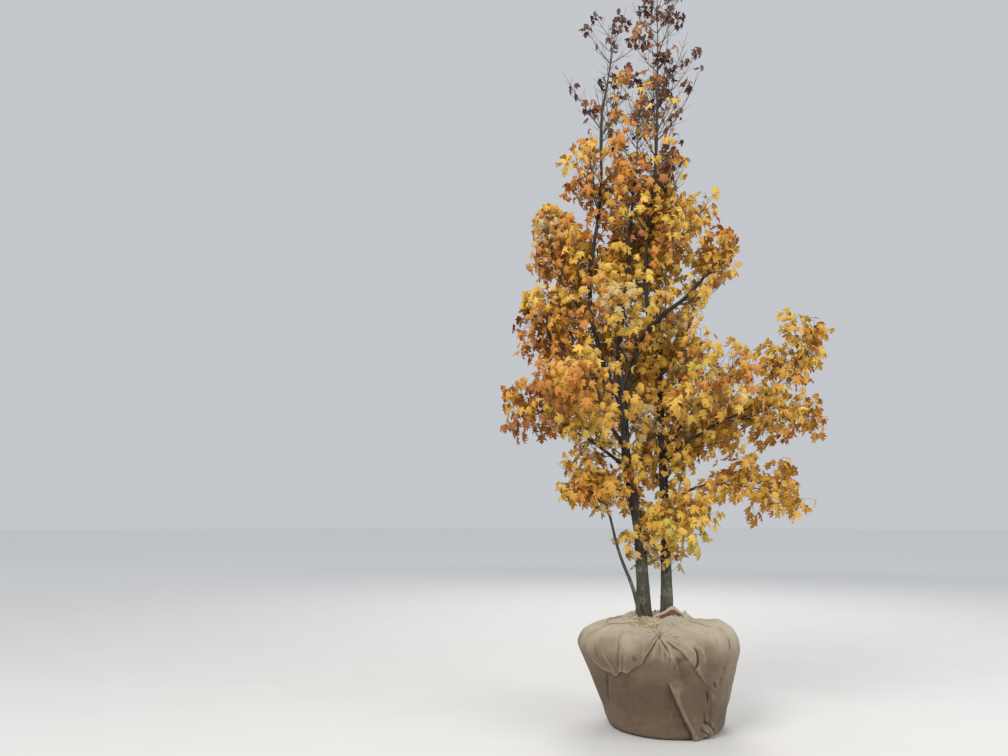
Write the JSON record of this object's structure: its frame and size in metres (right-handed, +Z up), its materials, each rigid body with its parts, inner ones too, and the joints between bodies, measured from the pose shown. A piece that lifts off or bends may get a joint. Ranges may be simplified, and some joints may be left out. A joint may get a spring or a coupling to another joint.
{
  "type": "clump maple with root ball",
  "caption": "Young clump-form maple in gold autumn leaf: slim forked stems with airy upright boughs, standing on a broad burlapped root ball with a flat underside.",
  "frame": {"origin": "on the flat underside of the root ball, below the midpoint between the stems' feet", "axes": "+Z up the stems, +X to the right and -Y to the front as the picture shows the plant"},
  "size_m": [2.6773, 1.7697, 6.1503],
  "materials": {
    "burlap": "matte woven jute",
    "bark": "matte, finely fissured",
    "gold_leaves": "satin",
    "brown_leaves": "dry matte"
  },
  "bodies": {
    "root": {"root_ball": "burlap", "stem_left": "bark", "stem_right": "bark", "stem_small": "bark", "bough_right_high": "bark", "leader_left": "bark", "leader_main": "bark", "bough_right": "bark", "bough_right_low": "bark", "bough_left_low": "bark", "bough_left_mid": "bark", "bough_left_high": "bark", "bough_front_left": "bark", "bough_front_right": "bark", "bough_back_left": "bark", "bough_back_right": "bark", "bough_back": "bark", "foliage_right_high": "gold_leaves", "foliage_right_mid": "gold_leaves", "foliage_right_low": "gold_leaves", "foliage_left_low": "gold_leaves", "foliage_left_foot": "gold_leaves", "foliage_left_mid": "gold_leaves", "foliage_left_high": "gold_leaves", "foliage_right_crown": "gold_leaves", "foliage_right_inner": "gold_leaves", "foliage_front_left": "gold_leaves", "foliage_front_right": "gold_leaves", "foliage_front_low": "gold_leaves", "foliage_back_left": "gold_leaves", "foliage_back_right": "gold_leaves", "foliage_back": "gold_leaves", "foliage_small": "gold_leaves", "foliage_stem_left_1": "gold_leaves", "foliage_stem_left_2": "gold_leaves", "foliage_stem_left_top": "brown_leaves", "foliage_stem_right_1": "gold_leaves", "foliage_stem_right_2": "gold_leaves", "foliage_stem_right_3": "gold_leaves", "foliage_stem_right_top": "brown_leaves", "foliage_leader_left_1": "gold_leaves", "foliage_leader_left_2": "gold_leaves", "foliage_leader_left_3": "brown_leaves", "foliage_leader_left_top": "brown_leaves", "foliage_leader_main_1": "gold_leaves", "foliage_leader_main_2": "gold_leaves", "foliage_leader_main_3": "brown_leaves", "foliage_leader_main_4": "brown_leaves", "foliage_leader_main_top": "brown_leaves"}
  },
  "joints": []
}
